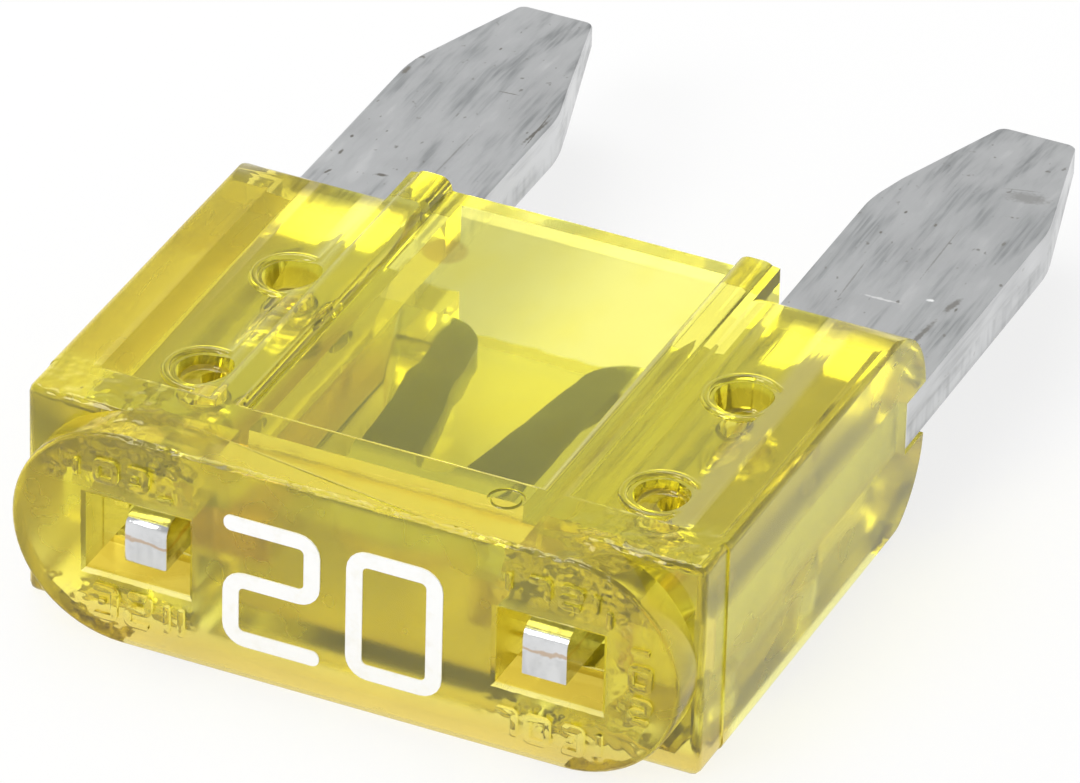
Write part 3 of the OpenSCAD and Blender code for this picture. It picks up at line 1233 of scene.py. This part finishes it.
@dataclass
class FuseElement:
    """Stamped zinc strip: two tapered blades with test tabs, and the thin link between them."""

    length: float
    half_width: float
    mid: float
    blade_t: float = 0.8
    blade_w: float = 2.8
    taper_in: Point = (0.86, 3.13)
    taper_out: Point = (0.7, 2.75)
    taper_r: float = 0.25
    tip_r: float = 0.12
    coin_l: float = 2.4
    tip_share: float = 0.5
    tab_x: float = 3.2
    tab_w: float = 0.7
    tab_y: float = 0.15
    tab_roll: float = 0.24
    strip_y: float = 1.6
    strip_x: float = 4.85
    notch_y: float = 8.05
    shoulder: tuple[Point, Point] = ((1.6, 4.8), (2.36, 7.1))
    stake_hole_d: float = 0.8
    link_t: float = 0.4
    link_half: float = 1.3
    link_bore: float = 0.35
    arch_y: float = 3.3
    leg_y: float = 6.3
    leg_x: Point = (0.85, 1.5)
    foot_r: float = 0.8
    crease_y: float = 5.2
    crease_half: float = 0.5
    crease_rise: float = 0.14
    edge_r: float = 0.05
    worn_r: float = 0.15
    link_edge_r: float = 0.04
    crisp: float = 50.0
    join: float = 0.1

    def blade(self, side: int) -> Solid:
        """Makes one blade with its tab and shoulder.

        Args:
            side: -1 for the left blade, 1 for the right one.

        Returns:
            The blade.
        """
        out_x, in_x = self.half_width, self.half_width - self.blade_w
        (low_x, low_y), (high_x, high_y) = self.shoulder
        outline = [
            Corner(self.tab_x - self.tab_w / 2, self.tab_y), Corner(self.tab_x + self.tab_w / 2, self.tab_y),
            Corner(self.tab_x + self.tab_w / 2, self.strip_y), Corner(self.strip_x, self.strip_y),
            Corner(self.strip_x, self.notch_y), Corner(out_x, self.notch_y),
            Corner(out_x, self.length - self.taper_out[1], self.taper_r),
            Corner(out_x - self.taper_out[0], self.length, self.tip_r),
            Corner(in_x + self.taper_in[0], self.length, self.tip_r),
            Corner(in_x, self.length - self.taper_in[1], self.taper_r),
            Corner(in_x, high_y), Corner(high_x, high_y), Corner(low_x, low_y), Corner(low_x, self.strip_y),
            Corner(self.tab_x - self.tab_w / 2, self.strip_y),
        ]
        made = Workshop.prism(
            [Corner(side * c.u, c.v, c.radius) for c in outline], Axis.Z,
            self.mid - self.blade_t / 2, self.mid + self.blade_t / 2,
        )
        coin_y = self.length - self.coin_l

        def change(bm: Mesh) -> None:
            top = self.mid + self.blade_t / 2
            tab_top = [
                e for e in bm.edges
                if all(abs(v.co.y - self.tab_y) < TINY and abs(v.co.z - top) < TINY for v in e.verts)
            ]
            Workshop.bevel(bm, tab_top, self.tab_roll, 5)
            Workshop.cut_across(bm, coin_y)
            for vert in bm.verts:
                if vert.co.y > coin_y:
                    share = (vert.co.y - coin_y) / self.coin_l
                    vert.co.z = self.mid + (vert.co.z - self.mid) * (1.0 - share * (1.0 - self.tip_share))

        Workshop.reshape(made, change)
        if side > 0:
            low = Vector((out_x - self.blade_t, self.notch_y + self.worn_r, self.mid + self.edge_r))
            Workshop.soften(made, self.worn_r, self.crisp, 3, lambda middle: min(middle - low) > 0.0)
        return Workshop.soften(made, self.edge_r, self.crisp)

    def link(self) -> Solid:
        """Makes the thin link: an arch, two legs and their feet."""
        w, r, y, top = self.link_half, self.link_bore, self.arch_y, self.leg_y + self.foot_r
        reach = self.shoulder[1][0] + self.join
        right = [
            Corner(w, y - w, w * ALMOST), Corner(w, y), Corner(self.leg_x[1], self.leg_y),
            Corner(reach, self.leg_y), Corner(reach, top), Corner(self.leg_x[0], top, self.foot_r),
            Corner(self.leg_x[0], self.leg_y), Corner(r, y), Corner(r, y - r, r * ALMOST),
        ]
        outline = Corner.mirrored(right)
        made = Workshop.prism(outline, Axis.Z, self.mid - self.link_t / 2, self.mid + self.link_t / 2)

        def change(bm: Mesh) -> None:
            for y_cut in (self.crease_y - self.crease_half, self.crease_y, self.crease_y + self.crease_half):
                Workshop.cut_across(bm, y_cut)
            for vert in bm.verts:
                if abs(vert.co.y - self.crease_y) < 0.01 and vert.co.x < 0.0:
                    vert.co.z += self.crease_rise

        Workshop.reshape(made, change)
        return Workshop.soften(made, self.link_edge_r, self.crisp)

    def build(self, front_y: float) -> Solid:
        """Builds the whole element.

        Args:
            front_y: Where the label face lies in the frame, in metres.

        Returns:
            The element.
        """
        shop = Workshop
        made = self.blade(-1)
        shop.combine(made, Join.ADD, self.blade(1), self.link())
        low = self.mid - self.blade_t
        holes = [shop.rod((x, y, low), self.stake_hole_d, 2 * self.blade_t) for x, y in STAKES]
        shop.combine(made, Join.CUT, *holes)

        def clean(bm: Mesh) -> None:
            bmesh.ops.remove_doubles(bm, verts=bm.verts, dist=TINY)

        shop.reshape(made, clean)
        return shop.place(made, "zinc_element", front_y, 30.0)

    def marks(self) -> list[Mark]:
        """Lists the single pits and scratches on the blades."""
        return [
            Mark(-4.32, 10.37, 0.2, 0.09, 10.0), Mark(-5.17, 10.7, 0.16, 0.06), Mark(-5.22, 11.2, 0.12, 0.05),
            Mark(-5.1, 10.1, 0.2, 0.05, 70.0), Mark(-5.33, 13.36, 0.26, 0.09), Mark(-4.34, 14.7, 0.1, 0.04),
            Mark(-2.75, 12.7, 1.3, 0.03, 93.0), Mark(-2.75, 12.6, 0.9, 0.06, 84.0),
            Mark(-3.6, 13.45, 0.4, 0.025, 5.0), Mark(-3.6, 11.4, 1.6, 0.03, 89.0, 0.5),
            Mark(3.92, 10.58, 0.6, 0.06, 1.0, 1.0, True), Mark(4.59, 10.88, 0.12, 0.09, 0.0, 1.0, True),
            Mark(4.72, 14.3, 0.7, 0.36, 12.0, 0.45), Mark(4.57, 14.5, 0.6, 0.03, 18.0, 0.5),
            Mark(5.04, 10.8, 0.12, 0.05), Mark(3.26, 13.03, 0.08, 0.05), Mark(3.15, 12.32, 0.08, 0.05),
            Mark(3.81, 12.89, 0.1, 0.05), Mark(4.2, 12.2, 1.7, 0.03, 91.0, 0.5),
            Mark(4.85, 9.95, 0.9, 0.1, 86.0, 0.8), Mark(4.95, 10.9, 0.5, 0.12, 80.0, 0.8),
            Mark(3.3, 10.9, 1.3, 0.03, 92.0, 0.5),
        ]


# ---- Stage ----


@dataclass
class Stage:
    """Pale floor, white surroundings, two soft lamps and the camera."""

    eye: Triple = (54.92, -123.60, 87.43)
    target: Triple = (0.036, -1.356, 1.582)
    roll: float = 1.516
    lens: float = 355.77
    paper: float = 0.8
    seen_paper: float = 0.22
    seen_glow: float = 0.758
    through_glow: float = 0.27
    sky: tuple[Point, Point] = ((0.2, 1.0), (0.48, 0.55))
    lamps: tuple[tuple[str, Triple, float, float], ...] = (
        ("top", (-0.10, 0.06, 0.28), 0.2, 0.37), ("key", (-0.10, -0.18, 0.15), 0.1, 0.2),
    )

    def camera(self) -> None:
        """Sets the camera on the fuse from the front right, above."""
        data = bpy.data.cameras.new("camera")
        data.sensor_width = 36.0
        data.lens = self.lens
        data.clip_start = 0.005
        data.clip_end = 10.0
        camera = bpy.data.objects.new("camera", data)
        bpy.context.scene.collection.objects.link(camera)
        eye = Vector(self.eye) * MM
        back = (eye - Vector(self.target) * MM).normalized()
        right = Vector((0.0, 0.0, 1.0)).cross(back).normalized()
        turn = Matrix((right, back.cross(right), back)).transposed().to_4x4()
        roll = Matrix.Rotation(math.radians(self.roll), 4, "Z")
        camera.matrix_world = Matrix.Translation(eye) @ turn @ roll
        bpy.context.scene.camera = camera

    def floor(self) -> None:
        """Lays the floor, white where it is seen and plain paper where light bounces off it."""
        bm = bmesh.new()
        bmesh.ops.create_grid(bm, x_segments=1, y_segments=1, size=2.0)
        floor = Workshop.to_object(bm, "floor")
        n = Nodes("floor")
        path = n.add("ShaderNodeLightPath")
        mirrored = n.math("SUBTRACT", path.outputs["Is Glossy Ray"], path.outputs["Is Transmission Ray"])
        seen = n.math("MAXIMUM", path.outputs["Is Camera Ray"], mirrored)
        glow = n.math("MULTIPLY_ADD", path.outputs["Is Transmission Ray"], self.through_glow,
                      n.math("MULTIPLY", seen, self.seen_glow))
        colour = n.tint(seen, (self.paper,) * 3, (self.seen_paper,) * 3)
        both = n.add("ShaderNodeAddShader")
        n.link(n.add("ShaderNodeBsdfDiffuse", Color=colour).outputs[0], both.inputs[0])
        n.link(n.add("ShaderNodeEmission", Strength=glow).outputs[0], both.inputs[1])
        floor.data.materials.append(n.finish(both.outputs[0]))

    def world(self) -> None:
        """Surrounds the stage with white that dims overhead."""
        world = bpy.data.worlds.new("world")
        bpy.context.scene.world = world
        world.use_nodes = True
        tree = world.node_tree
        back = tree.nodes["Background"]
        where = tree.nodes.new("ShaderNodeTexCoord")
        split = tree.nodes.new("ShaderNodeSeparateXYZ")
        ramp = tree.nodes.new("ShaderNodeValToRGB")
        tree.links.new(where.outputs["Generated"], split.inputs[0])
        tree.links.new(split.outputs["Z"], ramp.inputs[0])
        tree.links.new(ramp.outputs[0], back.inputs["Color"])
        for stop, (place, light) in zip(ramp.color_ramp.elements, self.sky):
            stop.position = place
            stop.color = (light, light, light, 1.0)
        back.inputs["Strength"].default_value = 1.0

    def lamp(self, name: str, place: Triple, size: float, power: float) -> None:
        """Hangs a square lamp that points at the fuse.

        Args:
            name: Its name.
            place: Where it hangs, in metres.
            size: Width of its square, in metres.
            power: Its power in watts.
        """
        data = bpy.data.lights.new(name, "AREA")
        data.shape = "SQUARE"
        data.size = size
        data.energy = power
        made = bpy.data.objects.new(name, data)
        bpy.context.scene.collection.objects.link(made)
        made.location = place
        made.rotation_euler = (-Vector(place)).to_track_quat("-Z", "Y").to_euler()

    def build(self) -> None:
        """Sets the whole stage."""
        bpy.context.scene.view_settings.view_transform = "Standard"
        self.camera()
        self.floor()
        self.world()
        for lamp in self.lamps:
            self.lamp(*lamp)


def add_piece(piece: Solid, material: bpy.types.Material, slot: str, *replaced: str) -> None:
    """Dresses a piece and ties it to the frame.

    Args:
        piece: The finished piece.
        material: Its finish.
        slot: Name of the record's material slot; not used.
        replaced: CAD nodes that it stands for.
    """
    piece.data.materials.clear()
    piece.data.materials.append(material)
    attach(piece, BODY)
    if replaced:
        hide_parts(*replaced)
    log.info("%s: %d faces", piece.name, len(piece.data.polygons))


def main() -> None:
    """Builds the fuse and its stage."""
    logging.basicConfig(level=logging.INFO, format="%(name)s: %(message)s")
    Stage().build()
    low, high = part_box("housing")
    size = (high - low) / MM
    housing = Housing(length=size.y, width=size.x, thick=size.z)
    add_piece(housing.build(low.y), ClearPlastic().make(low.y), "clear_yellow_plastic", "housing")
    add_piece(housing.label(low.y), Ink().make(), "white_ink")

    strip_low, strip_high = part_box("fuse_element")
    element = FuseElement(
        length=(strip_high.y - low.y) / MM, half_width=strip_high.x / MM,
        mid=(strip_low.z + strip_high.z) / 2 / MM,
    )
    add_piece(element.build(low.y), Zinc().make(low.y, element.marks()), "zinc", "fuse_element")


if __name__ == "__main__":
    main()
